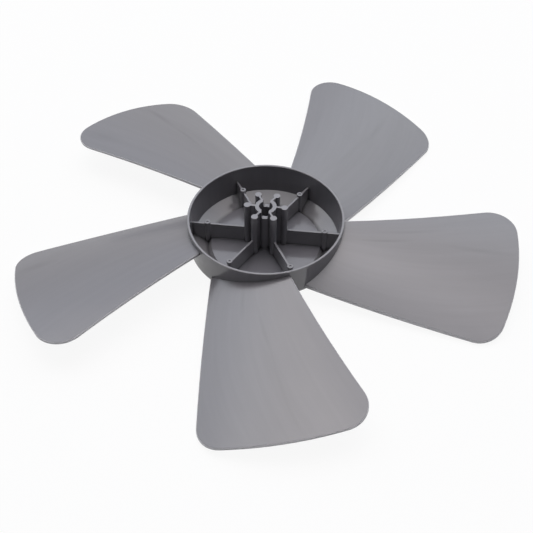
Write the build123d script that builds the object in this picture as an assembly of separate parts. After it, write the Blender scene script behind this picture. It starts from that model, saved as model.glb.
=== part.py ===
from build123d import *
import math
import os

# One-piece moulded axial fan blade: a cup-shaped hub, open towards the motor, with five swept
# blades round it. The origin is on the shaft axis in the plane of the hub's rim, +Z points to
# the motor and +X runs along one of the hub's ribs. Lengths are in millimetres, angles in degrees.

# Hub cup: a thin drafted wall and a conical floor that deepens towards the middle
hub_radius = 46.7
rim_thickness = 1.4
rim_chamfer = 0.3
outer_draft = 1.2
inner_draft = 3.0
shoulder_drop = 20.0
shoulder_rounding = 3.0
floor_thickness = 1.7
floor_slope = 29.3
nose_thickness = 1.6

# Spinner seat: the flat middle of the floor, set back into the cup by a drafted step
seat_radius = 33.1
seat_drop = 20.9
seat_draft = 30.0

# Shaft boss: a tube with two notches for the cross pin, stiffened by pillars on webs
bore_diameter = 8.0
tube_diameter = 12.7
boss_rise = 8.5
pin_slot_width = 3.3
pin_slot_depth = 4.3
pin_slot_draft = 7.0
pillar_diameter = 4.0
pillar_circle = 22.1
web_thickness = 1.2

# Radial ribs on the floor, each with an ejector post that is dimpled on top
rib_count = 6
rib_thickness = 1.2
rib_drop = 9.45
post_diameter = 3.5
post_circle = 70.7
post_rise = 1.25
dimple_diameter = 1.3
dimple_depth = 0.4

# Blade outline, seen along the axis
blade_count = 5
blade_start = 47.3
tip_radius = 150.0
root_span = 61.0
tip_span = 37.2
tip_sweep = 17.8
trailing_bow = 1.1
leading_hollow = 1.65
tip_corner_radius = 15.2

# Blade sections: arcs at the root chord and at the tip, with the leading edge high
root_drop = 6.85
root_pitch = 14.7
root_camber_radius = 124.5
root_thickness = 2.2
tip_drop = 11.35
tip_pitch = 10.1
tip_camber_radius = 290.0
tip_thickness = 1.5
edge_chamfer = 0.45
trim_allowance = 4.0


def polar_point(radius, angle):
    return Vector(radius * math.cos(math.radians(angle)), radius * math.sin(math.radians(angle)))


def crossing(start, angle, other, other_angle):
    """Point where two lines meet, each given by a point on it and its direction."""
    along = polar_point(1, angle)
    across = polar_point(1, other_angle + 90)
    return Vector(start) + along * ((Vector(other) - Vector(start)).dot(across) / along.dot(across))


def front_shoulder():
    """Corner of the wall and the conical front, in section, before it is rounded."""
    return crossing((hub_radius, 0), 90 - outer_draft, (0, -shoulder_drop), 0)


def floor_corners():
    """Inside corners in section: the foot of the wall, the valley of the floor and the seat's edge."""
    cone = front_shoulder() + Vector(0, floor_thickness / math.cos(math.radians(floor_slope)))
    seat_edge = Vector(seat_radius, -seat_drop)
    wall_foot = crossing((hub_radius - rim_thickness, 0), 90 - inner_draft, cone, floor_slope)
    valley = crossing(cone, floor_slope, seat_edge, 90 + seat_draft)
    return wall_foot, valley, seat_edge


def nose_level():
    """Height of the flat ring on the front, under the valley of the floor."""
    return floor_corners()[1].Y - nose_thickness


def hub_cup():
    """Thin cup with a rounded shoulder, as one turned profile of nearly even thickness."""
    shoulder = front_shoulder()
    seat_front = (0, -seat_drop - floor_thickness)
    nose = (0, nose_level())
    step = (seat_radius - floor_thickness / math.cos(math.radians(seat_draft)), -seat_drop)
    profile = make_face(
        Polyline(
            (hub_radius, 0),
            (hub_radius - rim_thickness, 0),
            *floor_corners(),
            (0, -seat_drop),
            seat_front,
            crossing(step, 90 + seat_draft, seat_front, 0),
            crossing(step, 90 + seat_draft, nose, 0),
            crossing(shoulder, floor_slope, nose, 0),
            shoulder,
            close=True,
        )
    )
    profile = chamfer(profile.vertices().group_by(Axis.Y)[-1], rim_chamfer)
    profile = fillet(profile.vertices().sort_by_distance(shoulder)[0], shoulder_rounding)
    return revolve(Plane.XZ * profile, Axis.Z)


def cup_inside():
    """Room inside the cup, down to the middle of the floor's thickness, for what stands on the floor."""
    wall_foot, valley, seat_edge = floor_corners()
    sunk = Vector(0, -floor_thickness / 2)
    wall_middle = wall_foot.X + rim_thickness / 2
    section = Polyline(
        (0, boss_rise),
        (wall_middle, boss_rise),
        (wall_middle, wall_foot.Y - floor_thickness / 2),
        valley + sunk,
        seat_edge + sunk,
        (0, -seat_drop - floor_thickness / 2),
        close=True,
    )
    return revolve(Plane.XZ * make_face(section), Axis.Z)


def standing(shape, foot, top):
    """Sketch raised from a foot level to its top."""
    return extrude(Pos(0, 0, foot) * shape, amount=top - foot)


def floor_ribs():
    """Six ribs from the boss to the cup wall, with their round posts."""
    inner_end = (bore_diameter + tube_diameter) / 4
    rib = Pos((inner_end + hub_radius) / 2, 0) * Rectangle(hub_radius - inner_end, rib_thickness)
    post = Pos(post_circle / 2, 0) * Circle(post_diameter / 2)
    post_top = post_rise - rib_drop
    dimple = Pos(post_circle / 2, 0) * Circle(dimple_diameter / 2)
    rib_and_post = standing(rib, nose_level(), -rib_drop) + standing(post, nose_level(), post_top)
    rib_and_post -= standing(dimple, post_top - dimple_depth, post_top)
    return [place * rib_and_post for place in PolarLocations(0, rib_count)]


def shaft_boss():
    """Tube with pillars on webs, notched across its top for the cross pin."""
    inner_end = (bore_diameter + tube_diameter) / 4
    outer_end = pillar_circle / 2
    web = Pos((inner_end + outer_end) / 2, 0) * Rectangle(outer_end - inner_end, web_thickness)
    stiffener = web + Pos(pillar_circle / 2, 0) * Circle(pillar_diameter / 2)
    plan = Circle(tube_diameter / 2)
    plan += [place * stiffener for place in PolarLocations(0, rib_count)]
    slot_foot = pin_slot_width / 2
    slot_mouth = slot_foot + 2 * pin_slot_depth * math.tan(math.radians(pin_slot_draft))
    slot = make_face(
        Polyline(
            (-slot_foot, boss_rise - pin_slot_depth),
            (slot_foot, boss_rise - pin_slot_depth),
            (slot_mouth, boss_rise + pin_slot_depth),
            (-slot_mouth, boss_rise + pin_slot_depth),
            close=True,
        )
    )
    pin_notch = extrude(Plane.XZ * slot, amount=tube_diameter / 2, both=True)
    return standing(plan, nose_level(), boss_rise) - pin_notch


def blade_outline():
    """Plan shape of one blade: bowed trailing edge, hollow leading edge and a tip arc about the axis."""
    root_radius = hub_radius - rim_thickness / 2
    trailing_root = polar_point(root_radius, -root_span / 2)
    leading_root = polar_point(root_radius, root_span / 2)
    trailing_tip = polar_point(tip_radius, tip_sweep - tip_span / 2)
    leading_tip = polar_point(tip_radius, tip_sweep + tip_span / 2)
    outline = make_face(
        [
            SagittaArc(trailing_root, trailing_tip, -trailing_bow),
            ThreePointArc(trailing_tip, polar_point(tip_radius, tip_sweep), leading_tip),
            SagittaArc(leading_tip, leading_root, leading_hollow),
            ThreePointArc(leading_root, polar_point(root_radius, 0), trailing_root),
        ]
    )
    tip_corners = outline.vertices().sort_by_distance((0, 0, 0))[2:]
    return fillet(tip_corners, tip_corner_radius)


def blade_section(plane, chord, pitch, camber_radius, thickness):
    """Curved strip of constant thickness, pitched about the middle of its chord."""
    half_angle = math.degrees(math.asin((chord / 2 + trim_allowance) / camber_radius))
    start = 90 - half_angle
    upper = CenterArc((0, -camber_radius), camber_radius, start, 2 * half_angle)
    lower = CenterArc((0, -camber_radius), camber_radius - thickness, start, 2 * half_angle)
    leading_end = Line(upper @ 0, lower @ 0)
    trailing_end = Line(upper @ 1, lower @ 1)
    strip = make_face([upper, trailing_end, lower, leading_end])
    return plane * Rot(0, 0, pitch) * strip


def blade():
    """Ruled sheet between the root and tip sections, trimmed to the outline, with broken edges."""
    root_distance = hub_radius * math.cos(math.radians(root_span / 2))
    root_chord = 2 * hub_radius * math.sin(math.radians(root_span / 2))
    tip_chord = 2 * tip_radius * math.tan(math.radians(tip_span / 2))
    tip_direction = polar_point(1, tip_sweep)
    tip_across = polar_point(1, tip_sweep + 90)
    root_plane = Plane((root_distance, 0, -root_drop), x_dir=(0, 1, 0), z_dir=(1, 0, 0))
    tip_origin = tip_direction * tip_radius - Vector(0, 0, tip_drop)
    tip_plane = Plane(tip_origin, x_dir=tip_across, z_dir=tip_direction)
    sheet = loft(
        [
            blade_section(root_plane, root_chord, root_pitch, root_camber_radius, root_thickness),
            blade_section(tip_plane, tip_chord, tip_pitch, tip_camber_radius, tip_thickness),
        ],
        ruled=True,
    )
    trimmed = sheet & extrude(blade_outline(), amount=tip_radius, both=True)
    free_edges = []
    for broad_face in trimmed.faces().sort_by(SortBy.AREA)[-2:]:
        free_edges += sorted(broad_face.edges(), key=lambda edge: (edge @ 0.5).length)[1:]
    return chamfer(free_edges, edge_chamfer)


def fan_blade():
    """Hub and blades as the single moulding, with the shaft bore right through."""
    single_blade = blade()
    blades = [place * single_blade for place in PolarLocations(0, blade_count, blade_start)]
    fittings = (shaft_boss() + floor_ribs()) & cup_inside()
    bore = Circle(bore_diameter / 2)
    return hub_cup() + fittings + blades - standing(bore, nose_level(), boss_rise)


os.makedirs("parts", exist_ok=True)
export_step(fan_blade(), "parts/fan_blade.step")
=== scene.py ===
import math
import bpy
from mathutils import Euler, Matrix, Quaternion, Vector


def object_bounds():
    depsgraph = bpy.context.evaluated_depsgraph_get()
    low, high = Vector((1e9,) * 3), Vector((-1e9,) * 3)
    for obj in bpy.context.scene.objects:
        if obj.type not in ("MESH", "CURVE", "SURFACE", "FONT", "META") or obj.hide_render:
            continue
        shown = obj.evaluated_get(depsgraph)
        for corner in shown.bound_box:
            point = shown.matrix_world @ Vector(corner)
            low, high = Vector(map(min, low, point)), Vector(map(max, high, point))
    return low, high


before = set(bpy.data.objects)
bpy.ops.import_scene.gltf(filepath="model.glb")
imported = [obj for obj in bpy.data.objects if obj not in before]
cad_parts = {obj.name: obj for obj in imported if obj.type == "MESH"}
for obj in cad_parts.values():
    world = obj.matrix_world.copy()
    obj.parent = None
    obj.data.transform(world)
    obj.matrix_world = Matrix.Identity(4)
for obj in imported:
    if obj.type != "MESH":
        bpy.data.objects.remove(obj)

cad_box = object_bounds()
scene = bpy.context.scene
scene.view_settings.view_transform = "Standard"

# The fan blade: five swept blades, a cup-shaped hub, its ribs, posts and shaft boss, all one
# injection moulding in grey ABS, filled from the hub outwards. It has no other piece on it.
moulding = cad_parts["fan_blade"]
blade_count = 5
blade_pitch = 2 * math.pi / blade_count
first_blade_angle = math.radians(47.3)
tip_radius = 0.150
tip_sweep = math.radians(17.8)
tip_half_span = math.radians(18.6)
root_half_span = math.radians(30.5)
hub_radius = 0.0467
hub_floor_top = -0.0185
seat_radius = 0.0331
groove_radius = 0.0351
groove_width = 0.0022
groove_top = -0.0211


def linear(hex_colour):
    """Linear RGBA of an sRGB hex colour."""
    parts = [int(hex_colour[i : i + 2], 16) / 255 for i in (1, 3, 5)]
    return [c / 12.92 if c <= 0.04045 else ((c + 0.055) / 1.055) ** 2.4 for c in parts] + [1.0]


def add_node(tree, kind, settings=(), inputs=()):
    """A new node with its settings; an input is a value, or the node or output that feeds it."""
    node = tree.nodes.new(kind)
    for name, value in dict(settings).items():
        setattr(node, name, value)
    for name, value in dict(inputs).items():
        if isinstance(value, bpy.types.Node):
            value = value.outputs[0]
        if isinstance(value, bpy.types.NodeSocket):
            tree.links.new(value, node.inputs[name])
        else:
            node.inputs[name].default_value = value
    return node


# Moulded ABS, self-coloured grey, from a finely spark-eroded and then polished mould: a clear soft
# gloss, faint streaks where the melt ran from the hub to the tips, and a fine even grain.
moulded_abs = bpy.data.materials.new("moulded_grey_abs")
moulded_abs.use_nodes = True
abs_tree = moulded_abs.node_tree
abs_tree.nodes.clear()
place = add_node(abs_tree, "ShaderNodeTexCoord").outputs["Object"]

# Where a point lies: across its blade, from -1 at the trailing edge to 1 at the leading edge;
# outward, from 0 at the hub to 1 at the tip; and the number of its blade
xyz = add_node(abs_tree, "ShaderNodeSeparateXYZ", inputs={0: place}).outputs
flat_place = add_node(abs_tree, "ShaderNodeCombineXYZ", inputs={"X": xyz["X"], "Y": xyz["Y"]})
off_axis = add_node(abs_tree, "ShaderNodeVectorMath", {"operation": "LENGTH"}, {0: flat_place})
radius = off_axis.outputs["Value"]
angle = add_node(abs_tree, "ShaderNodeMath", {"operation": "ARCTAN2"}, {0: xyz["Y"], 1: xyz["X"]})
outward = add_node(
    abs_tree,
    "ShaderNodeMapRange",
    {"clamp": False},
    {"Value": radius, "From Min": hub_radius, "From Max": tip_radius},
)
blade_middle = add_node(
    abs_tree,
    "ShaderNodeMapRange",
    {"clamp": False},
    {"Value": outward, "To Min": first_blade_angle, "To Max": first_blade_angle + tip_sweep},
)
half_width = add_node(
    abs_tree,
    "ShaderNodeMapRange",
    {"clamp": False},
    {
        "Value": outward,
        "To Min": root_half_span / blade_pitch,
        "To Max": tip_half_span / blade_pitch,
    },
)
turned = add_node(
    abs_tree, "ShaderNodeMath", {"operation": "SUBTRACT"}, {0: angle, 1: blade_middle}
)
blades_round = add_node(
    abs_tree, "ShaderNodeMath", {"operation": "DIVIDE"}, {0: turned, 1: blade_pitch}
)
blade_place = add_node(
    abs_tree,
    "ShaderNodeMath",
    {"operation": "WRAP"},
    {0: blades_round, 1: blade_count - 0.5, 2: -0.5},
)
blade_number = add_node(abs_tree, "ShaderNodeMath", {"operation": "ROUND"}, {0: blade_place})
off_middle = add_node(
    abs_tree, "ShaderNodeMath", {"operation": "SUBTRACT"}, {0: blade_place, 1: blade_number}
)
across = add_node(
    abs_tree, "ShaderNodeMath", {"operation": "DIVIDE"}, {0: off_middle, 1: half_width}
)
on_blade = add_node(
    abs_tree, "ShaderNodeCombineXYZ", inputs={"X": across, "Y": outward, "Z": blade_number}
)

# Broad flow streaks, 3 to 7 mm wide and about 90 mm long: so many to half a blade's width and to
# its length, and a step from blade to blade that makes each one different. Most of a noise lies
# between its low and its high value.
streak_rates = (7.0, 1.1, 5.3)
noise_low = 0.3
noise_high = 0.7
streak_place = add_node(
    abs_tree, "ShaderNodeVectorMath", {"operation": "MULTIPLY"}, {0: on_blade, 1: streak_rates}
)
streaks = add_node(
    abs_tree,
    "ShaderNodeTexNoise",
    inputs={
        "Vector": streak_place,
        "Scale": 1.0,
        "Detail": 3.0,
        "Roughness": 0.6,
        "Distortion": 0.25,
    },
)
streak_share = add_node(
    abs_tree,
    "ShaderNodeMapRange",
    inputs={"Value": streaks, "From Min": noise_low, "From Max": noise_high},
)
streaky_grey = add_node(
    abs_tree,
    "ShaderNodeMixRGB",
    inputs={"Fac": streak_share, "Color1": linear("#7A797C"), "Color2": linear("#7E7D80")},
)

# Thin dark flow lines, where two fronts of the melt ran side by side: blade, across and outward at
# each end, half width and darkness. Each one fades out from its middle and stays on its blade.
flow_lines = (
    (4, (0.51, 0.05), (0.60, 0.42), 0.035, 0.31),
    (4, (0.52, 0.56), (0.26, 1.00), 0.045, 0.24),
    (4, (0.73, 0.15), (0.77, 0.62), 0.040, 0.19),
    (3, (-0.06, -0.05), (-0.06, 0.30), 0.060, 0.24),
    (3, (0.20, 0.10), (0.28, 0.50), 0.045, 0.17),
    (3, (0.27, 0.45), (0.16, 0.98), 0.035, 0.10),
    (1, (-0.05, 0.40), (-0.16, 0.70), 0.040, 0.24),
    (1, (-0.12, 0.66), (-0.36, 1.00), 0.050, 0.27),
    (1, (0.76, 0.70), (0.64, 1.00), 0.160, 0.19),
    (2, (-0.38, 0.74), (-0.62, 1.00), 0.070, 0.20),
    (0, (0.10, 0.45), (-0.20, 0.95), 0.050, 0.14),
    (0, (0.30, 0.10), (0.05, 0.60), 0.050, 0.11),
)
own_blade_reach = 0.5
line_share = 0.0
for number, start, end, width, darkness in flow_lines:
    line = Vector(end) - Vector(start)
    middle = (Vector(start) + Vector(end)) / 2
    along_line = add_node(
        abs_tree,
        "ShaderNodeMapping",
        {"vector_type": "TEXTURE"},
        {
            "Vector": on_blade,
            "Location": (middle.x, middle.y, number),
            "Rotation": (0.0, 0.0, math.atan2(-line.x, line.y)),
            "Scale": (width, line.length / 2, own_blade_reach),
        },
    )
    faded_line = add_node(
        abs_tree, "ShaderNodeTexGradient", {"gradient_type": "SPHERICAL"}, {"Vector": along_line}
    )
    line_share = add_node(
        abs_tree,
        "ShaderNodeMath",
        {"operation": "MULTIPLY_ADD"},
        {0: faded_line.outputs["Fac"], 1: darkness, 2: line_share},
    )
lined_grey = add_node(
    abs_tree,
    "ShaderNodeMixRGB",
    inputs={"Fac": line_share, "Color1": streaky_grey, "Color2": linear("#5A5A5C")},
)

# Painted light: level tops high in the hub, the rim's and the boss's, are painted pale as a painted
# highlight, and the hub's floor is painted half as pale, as painted light on it. Its flat middle,
# the seat of the spinner, is painted darker, as painted shade.
highlight_height = -0.001
floor_painted_light = 0.5
level_enough = 0.6
facing = add_node(abs_tree, "ShaderNodeNewGeometry").outputs["True Normal"]
facing_up = add_node(abs_tree, "ShaderNodeSeparateXYZ", inputs={0: facing}).outputs["Z"]
in_hub = add_node(
    abs_tree, "ShaderNodeMath", {"operation": "LESS_THAN"}, {0: radius, 1: hub_radius}
)
is_low = add_node(
    abs_tree, "ShaderNodeMath", {"operation": "LESS_THAN"}, {0: xyz["Z"], 1: hub_floor_top}
)
is_level = add_node(
    abs_tree, "ShaderNodeMath", {"operation": "GREATER_THAN"}, {0: facing_up, 1: level_enough}
)
low_in_hub = add_node(abs_tree, "ShaderNodeMath", {"operation": "MULTIPLY"}, {0: in_hub, 1: is_low})
on_hub_floor = add_node(
    abs_tree, "ShaderNodeMath", {"operation": "MULTIPLY"}, {0: low_in_hub, 1: is_level}
)
is_high = add_node(
    abs_tree, "ShaderNodeMath", {"operation": "GREATER_THAN"}, {0: xyz["Z"], 1: highlight_height}
)
high_in_hub = add_node(
    abs_tree, "ShaderNodeMath", {"operation": "MULTIPLY"}, {0: in_hub, 1: is_high}
)
# Painted highlight on the level tops of the rim and the boss
on_highlighted_top = add_node(
    abs_tree, "ShaderNodeMath", {"operation": "MULTIPLY"}, {0: high_in_hub, 1: is_level}
)
# Painted light on the hub's floor, and the painted highlight on the tops
painted_light_share = add_node(
    abs_tree,
    "ShaderNodeMath",
    {"operation": "MULTIPLY_ADD"},
    {0: on_hub_floor, 1: floor_painted_light, 2: on_highlighted_top},
)
painted_light_grey = add_node(
    abs_tree,
    "ShaderNodeMixRGB",
    inputs={"Fac": painted_light_share, "Color1": lined_grey, "Color2": linear("#8C8B8E")},
)
# Painted shade: the seat of the spinner is painted darker.
in_seat = add_node(
    abs_tree, "ShaderNodeMath", {"operation": "LESS_THAN"}, {0: radius, 1: seat_radius}
)
on_seat = add_node(
    abs_tree, "ShaderNodeMath", {"operation": "MULTIPLY"}, {0: in_seat, 1: on_hub_floor}
)
seat_painted_shade_grey = add_node(
    abs_tree,
    "ShaderNodeMixRGB",
    {"blend_type": "MULTIPLY"},
    {"Fac": on_seat, "Color1": painted_light_grey, "Color2": linear("#DDDEE2")},
)

# Painted shade: corners and the groove round the seat are painted darker, where shade falls.
# A corner starts, and ends up darkest, where these shares of the space within 3.5 mm are open.
corner_reach = 0.0035
corner_start = 0.72
corner_end = 0.4
corner_darkness = 0.85
groove_darkness = 0.6
open_share = add_node(
    abs_tree,
    "ShaderNodeAmbientOcclusion",
    {"samples": 8, "only_local": True},
    {"Distance": corner_reach},
).outputs["AO"]
corner_share = add_node(
    abs_tree,
    "ShaderNodeMapRange",
    inputs={
        "Value": open_share,
        "From Min": corner_start,
        "From Max": corner_end,
        "To Max": corner_darkness,
    },
)
# Painted shade in the groove round the seat, where the valley lies in shadow
in_groove = add_node(
    abs_tree,
    "ShaderNodeMapRange",
    {"interpolation_type": "SMOOTHSTEP"},
    {
        "Value": radius,
        "From Min": groove_radius + groove_width,
        "From Max": groove_radius,
        "To Max": groove_darkness,
    },
)
under_seat = add_node(
    abs_tree, "ShaderNodeMath", {"operation": "LESS_THAN"}, {0: xyz["Z"], 1: groove_top}
)
low_on_floor = add_node(
    abs_tree, "ShaderNodeMath", {"operation": "MULTIPLY"}, {0: on_hub_floor, 1: under_seat}
)
groove_share = add_node(
    abs_tree, "ShaderNodeMath", {"operation": "MULTIPLY"}, {0: in_groove, 1: low_on_floor}
)
painted_shade_share = add_node(
    abs_tree, "ShaderNodeMath", {"operation": "MAXIMUM"}, {0: corner_share, 1: groove_share}
)
# Painted shade in the corners and in the groove round the seat
painted_shade_grey = add_node(
    abs_tree,
    "ShaderNodeMixRGB",
    inputs={"Fac": painted_shade_share, "Color1": seat_painted_shade_grey, "Color2": linear("#2E2E30")},
)

# The blades' edges, where the two halves of the mould met: painted paler, as painted light in place
# of their shade, and fading in over the first 4 mm off the hub. The broad faces are told from them
# by lying more level.
level_face = 0.85
steep_edge = 0.78
edge_fade = 0.004
levelness = add_node(abs_tree, "ShaderNodeMath", {"operation": "ABSOLUTE"}, {0: facing_up})
is_steep = add_node(
    abs_tree,
    "ShaderNodeMapRange",
    {"interpolation_type": "SMOOTHSTEP"},
    {"Value": levelness, "From Min": level_face, "From Max": steep_edge},
)
off_hub = add_node(
    abs_tree,
    "ShaderNodeMapRange",
    inputs={"Value": radius, "From Min": hub_radius, "From Max": hub_radius + edge_fade},
)
on_edge = add_node(abs_tree, "ShaderNodeMath", {"operation": "MULTIPLY"}, {0: is_steep, 1: off_hub})
# Painted light on the blades' steep edges, in place of their shade
edge_painted_light_grey = add_node(
    abs_tree,
    "ShaderNodeMixRGB",
    inputs={"Fac": on_edge, "Color1": painted_shade_grey, "Color2": linear("#C0C0C2")},
)

# Patches about 12 mm across that released from the mould a little more or less glossy. The hub
# comes off a polished core, so it is smoother all over than the blades.
patch_size = 0.012
smoothest_patch = 0.17
roughest_patch = 0.23
hub_polish = 0.07
gloss_patches = add_node(
    abs_tree,
    "ShaderNodeTexNoise",
    inputs={"Vector": place, "Scale": 1 / patch_size, "Detail": 2.0, "Roughness": 0.5},
)
patch_roughness = add_node(
    abs_tree,
    "ShaderNodeMapRange",
    inputs={
        "Value": gloss_patches,
        "From Min": noise_low,
        "From Max": noise_high,
        "To Min": smoothest_patch,
        "To Max": roughest_patch,
    },
)
roughness = add_node(
    abs_tree,
    "ShaderNodeMath",
    {"operation": "MULTIPLY_ADD"},
    {0: in_hub, 1: -hub_polish, 2: patch_roughness},
)

# Edges that the mould leaves about 0.3 mm round, a slight warp of the thin walls over 30 mm, and
# the spark-eroded grain, which is really 0.05 mm and is drawn at 0.5 mm so that it shows
edge_rounding = 0.0003
warp_size = 0.030
warp_height = 0.00015
grain_size = 0.0005
grain_height = 0.000018
rounded_edges = add_node(abs_tree, "ShaderNodeBevel", {"samples": 6}, {"Radius": edge_rounding})
warp = add_node(
    abs_tree, "ShaderNodeTexNoise", inputs={"Vector": place, "Scale": 1 / warp_size, "Detail": 1.0}
)
warped = add_node(
    abs_tree,
    "ShaderNodeBump",
    inputs={"Height": warp, "Distance": warp_height, "Normal": rounded_edges},
)
grain = add_node(
    abs_tree, "ShaderNodeTexNoise", inputs={"Vector": place, "Scale": 1 / grain_size, "Detail": 2.0}
)
grained = add_node(
    abs_tree, "ShaderNodeBump", inputs={"Height": grain, "Distance": grain_height, "Normal": warped}
)
shader = add_node(
    abs_tree,
    "ShaderNodeBsdfPrincipled",
    inputs={"Base Color": edge_painted_light_grey, "IOR": 1.54, "Roughness": roughness, "Normal": grained},
)
add_node(abs_tree, "ShaderNodeOutputMaterial", inputs={"Surface": shader})

moulding.data.materials.clear()
moulding.data.materials.append(moulded_abs)

# The table top that the part lies on, open side up: a sheet of matt white card, wide enough to fill
# the view. It looks nearly plain white, and the rest of its own shade keeps the part's shadow.
# From below it is clear, so that the front of the part can be seen.
floor_height = cad_box[0].z
floor_reach = 6.0
floor_corners = ((-1, -1), (1, -1), (1, 1), (-1, 1))
plain_white_share = 0.92
floor_mesh = bpy.data.meshes.new("white_card")
floor_mesh.from_pydata(
    [(x * floor_reach, y * floor_reach, floor_height) for x, y in floor_corners],
    [],
    [(0, 1, 2, 3)],
)
floor = bpy.data.objects.new("white_card", floor_mesh)
scene.collection.objects.link(floor)


def looked_at(tree):
    """1 for a ray that shows the surface, straight or in gloss or glass, and 0 for other rays."""
    rays = add_node(tree, "ShaderNodeLightPath").outputs
    straight_or_gloss = add_node(
        tree,
        "ShaderNodeMath",
        {"operation": "MAXIMUM"},
        {0: rays["Is Camera Ray"], 1: rays["Is Glossy Ray"]},
    )
    return add_node(
        tree,
        "ShaderNodeMath",
        {"operation": "MAXIMUM"},
        {0: straight_or_gloss, 1: rays["Is Transmission Ray"]},
    )


white_card = bpy.data.materials.new("matt_white_card")
white_card.use_nodes = True
card_tree = white_card.node_tree
card_tree.nodes.clear()
plain_white = add_node(
    card_tree,
    "ShaderNodeMath",
    {"operation": "MULTIPLY"},
    {0: looked_at(card_tree), 1: plain_white_share},
)
card_matt = add_node(card_tree, "ShaderNodeBsdfDiffuse", inputs={"Color": linear("#F4F4F4")})
card_white = add_node(
    card_tree, "ShaderNodeEmission", inputs={"Color": linear("#FFFFFF"), "Strength": 1.0}
)
card_shown = add_node(
    card_tree, "ShaderNodeMixShader", inputs={0: plain_white, 1: card_matt, 2: card_white}
)
card_side = add_node(card_tree, "ShaderNodeNewGeometry")
card_clear = add_node(card_tree, "ShaderNodeBsdfTransparent")
card_seen = add_node(
    card_tree,
    "ShaderNodeMixShader",
    inputs={0: card_side.outputs["Backfacing"], 1: card_shown, 2: card_clear},
)
add_node(card_tree, "ShaderNodeOutputMaterial", inputs={"Surface": card_seen})
floor_mesh.materials.append(white_card)

# Studio light: one softbox overhead and two rows of them round the sides and the back, 2.5 m away.
# Each fades from the middle of its cloth to the edges, so that they join up in the blades' gloss.
# For each one: bearing from the camera's side, height angle, power and colour.
softboxes = (
    ("overhead", 180, 88, 12.5, "#FEFBFF"),
    ("upper_right", 90, 65, 5.6, "#FFF7F9"),
    ("upper_back_right", 135, 65, 3.5, "#FFF6F4"),
    ("upper_back", 180, 65, 8.3, "#FFF8F7"),
    ("upper_back_left", 225, 65, 13.5, "#FFFAF6"),
    ("upper_left", 270, 65, 3.4, "#FEFAFF"),
    ("lower_right", 120, 40, 3.6, "#DBEAFF"),
    ("lower_back_right", 150, 40, 9.3, "#EEF7FF"),
    ("lower_back", 180, 40, 3.3, "#D2E6FF"),
    ("lower_back_left", 210, 40, 3.4, "#CFE2FF"),
    ("lower_left", 240, 40, 9.8, "#EBF3FF"),
)
softbox_width = 2.6
softbox_distance = 2.5
cloth_middle = (0.5, 0.5, 0.0)
dark_from = 0.5
bright_within = 0.1
# So bright in its middle, the cloth makes up for its dark corners and gives the lamp's whole power
middle_brightness = 3.25
for name, bearing, height_angle, power, colour in softboxes:
    softbox_data = bpy.data.lights.new(name + "_softbox", "AREA")
    softbox_data.shape = "SQUARE"
    softbox_data.size = softbox_width
    softbox_data.energy = power
    softbox_data.color = linear(colour)[:3]
    softbox_data.use_nodes = True
    cloth_tree = softbox_data.node_tree
    cloth_tree.nodes.clear()
    on_cloth = add_node(cloth_tree, "ShaderNodeNewGeometry").outputs["Parametric"]
    from_middle = add_node(
        cloth_tree,
        "ShaderNodeVectorMath",
        {"operation": "DISTANCE"},
        {0: on_cloth, 1: cloth_middle},
    )
    brightness = add_node(
        cloth_tree,
        "ShaderNodeMapRange",
        {"interpolation_type": "SMOOTHSTEP"},
        {
            "Value": from_middle.outputs["Value"],
            "From Min": dark_from,
            "From Max": bright_within,
            "To Max": middle_brightness,
        },
    )
    cloth = add_node(cloth_tree, "ShaderNodeEmission", inputs={"Strength": brightness})
    add_node(cloth_tree, "ShaderNodeOutputLight", inputs={"Surface": cloth})
    softbox = bpy.data.objects.new(name + "_softbox", softbox_data)
    turn = Euler((math.radians(90 - height_angle), 0.0, math.radians(bearing)))
    softbox.rotation_euler = turn
    softbox.location = turn.to_matrix() @ Vector((0.0, 0.0, softbox_distance))
    scene.collection.objects.link(softbox)

# The room round the table: white to look at, and only a faint, slightly blue light on the part,
# thrown back from its walls.
studio = bpy.data.worlds.new("studio")
scene.world = studio
studio.use_nodes = True
studio_tree = studio.node_tree
studio_tree.nodes.clear()
studio_view = looked_at(studio_tree)
room = add_node(
    studio_tree, "ShaderNodeBackground", inputs={"Color": linear("#DDDDF2"), "Strength": 0.05}
)
backdrop = add_node(
    studio_tree, "ShaderNodeBackground", inputs={"Color": linear("#FFFFFF"), "Strength": 1.0}
)
studio_seen = add_node(
    studio_tree, "ShaderNodeMixShader", inputs={0: studio_view, 1: room, 2: backdrop}
)
add_node(studio_tree, "ShaderNodeOutputWorld", inputs={"Surface": studio_seen})

# The camera looks down into the hub at about 45 degrees, from the front and a little to the right,
# as the photograph does.
camera_data = bpy.data.cameras.new("camera")
camera_data.sensor_width = 36.0
camera_data.lens = 66.24
camera_data.clip_start = 0.01
camera = bpy.data.objects.new("camera", camera_data)
camera_place = Vector((0.04586, -0.41536, 0.40540))
camera_aim = Vector((0.00494, -0.04019, 0.0))
camera_roll = Quaternion((0, 0, 1), math.radians(0.28))
camera.location = camera_place
camera.rotation_mode = "QUATERNION"
camera.rotation_quaternion = (camera_aim - camera_place).to_track_quat("-Z", "Y") @ camera_roll
scene.collection.objects.link(camera)
scene.camera = camera
